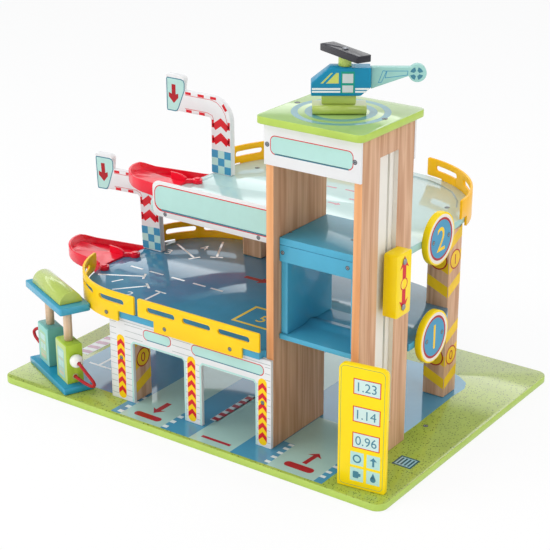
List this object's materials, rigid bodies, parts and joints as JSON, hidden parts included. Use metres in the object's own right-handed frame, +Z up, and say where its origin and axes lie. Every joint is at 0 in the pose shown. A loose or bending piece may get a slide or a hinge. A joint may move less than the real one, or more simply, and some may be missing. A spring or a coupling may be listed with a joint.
{
  "type": "toy garage",
  "caption": "Wooden toy parking garage with two decks, a sliding lift in a tower, curved car ramps, road signs, a rooftop helicopter and a petrol island.",
  "frame": {"origin": "centre of the underside of the base board", "axes": "+X to the right along the arched front, +Y to the back, +Z up"},
  "size_m": [0.6385, 0.453, 0.5146],
  "materials": {
    "base_board": "gloss painted plywood",
    "natural_wood": "clear varnished pine",
    "white_board": "satin printed plywood",
    "leaf_board": "gloss painted",
    "cream_strip": "satin",
    "blue_deck": "gloss printed",
    "pale_deck": "gloss printed",
    "yellow_board": "gloss painted",
    "red_plastic": "moulded",
    "lift_blue": "gloss painted",
    "steel": "plated",
    "teal_wood": "gloss painted",
    "leaf_wood": "gloss painted",
    "mint_wood": "gloss painted",
    "dark_wood": "satin painted",
    "white_wood": "gloss painted",
    "red_cord": "woven cord"
  },
  "bodies": {
    "garage": {"arch_panel": "white_board", "base_board": "base_board", "deck_1": "blue_deck", "deck_2": "pale_deck", "deck_2_signboard": "white_board", "exit_sign_1": "white_board", "exit_sign_2": "white_board", "fence_deck_1_back": "yellow_board", "fence_deck_1_front": "yellow_board", "fence_deck_1_left": "yellow_board", "fence_deck_2_left": "yellow_board", "fence_deck_2_right": "yellow_board", "helipad_board": "leaf_board", "level_disc_1": "yellow_board", "level_disc_2": "yellow_board", "post_back_lower": "natural_wood", "post_back_upper": "natural_wood", "post_front_left": "natural_wood", "post_right": "natural_wood", "price_sign": "yellow_board", "ramp_1": "red_plastic", "ramp_1_pin_back": "red_plastic", "ramp_1_pin_front": "red_plastic", "ramp_2": "red_plastic", "ramp_2_pin_back": "red_plastic", "ramp_2_pin_front": "red_plastic", "slot_liner_back": "cream_strip", "slot_liner_front": "cream_strip", "tower_header_back": "white_board", "tower_header_front": "white_board", "tower_left_wall": "natural_wood", "tower_right_wall": "natural_wood"},
    "lift_car": {"lift_bolt_lower": "steel", "lift_bolt_upper": "steel", "lift_floor_plate": "lift_blue", "lift_handle": "yellow_board", "lift_left_cheek": "lift_blue", "lift_lintel": "lift_blue", "lift_right_cheek": "lift_blue", "lift_roof_plate": "lift_blue"},
    "helicopter": {"helicopter_belly": "leaf_wood", "helicopter_body": "teal_wood", "helicopter_mast": "leaf_wood", "helicopter_rotor_screw": "steel", "helicopter_skids": "leaf_wood", "helicopter_tail_boom": "mint_wood"},
    "rotor": {"helicopter_rotor": "dark_wood"},
    "petrol_island": {"hose_far": "red_cord", "hose_near": "red_cord", "island_base": "teal_wood", "island_canopy": "lift_blue", "island_canopy_top": "leaf_wood", "island_dowel_far": "natural_wood", "island_dowel_near": "natural_wood", "island_pump_far": "mint_wood", "island_pump_near": "leaf_wood", "nozzle_ball_far": "white_wood", "nozzle_ball_near": "white_wood"}
  },
  "joints": [
    {"name": "lift_slide", "type": "slide", "parent": "garage", "child": "lift_car", "axis": [0, 0, 1], "range_m": [-0.145, 0.125]},
    {"name": "helicopter_lift_off", "type": "slide", "parent": "garage", "child": "helicopter", "axis": [0, 0, 1], "range_m": [0, 0.08]},
    {"name": "rotor_spin", "type": "hinge", "parent": "helicopter", "child": "rotor", "pos_m": [0.1799, -0.11853, 0.5047], "axis": [0, 0, 1], "continuous": true},
    {"name": "island_lift_off", "type": "slide", "parent": "garage", "child": "petrol_island", "axis": [0, 0, 1], "range_m": [0, 0.08]}
  ]
}
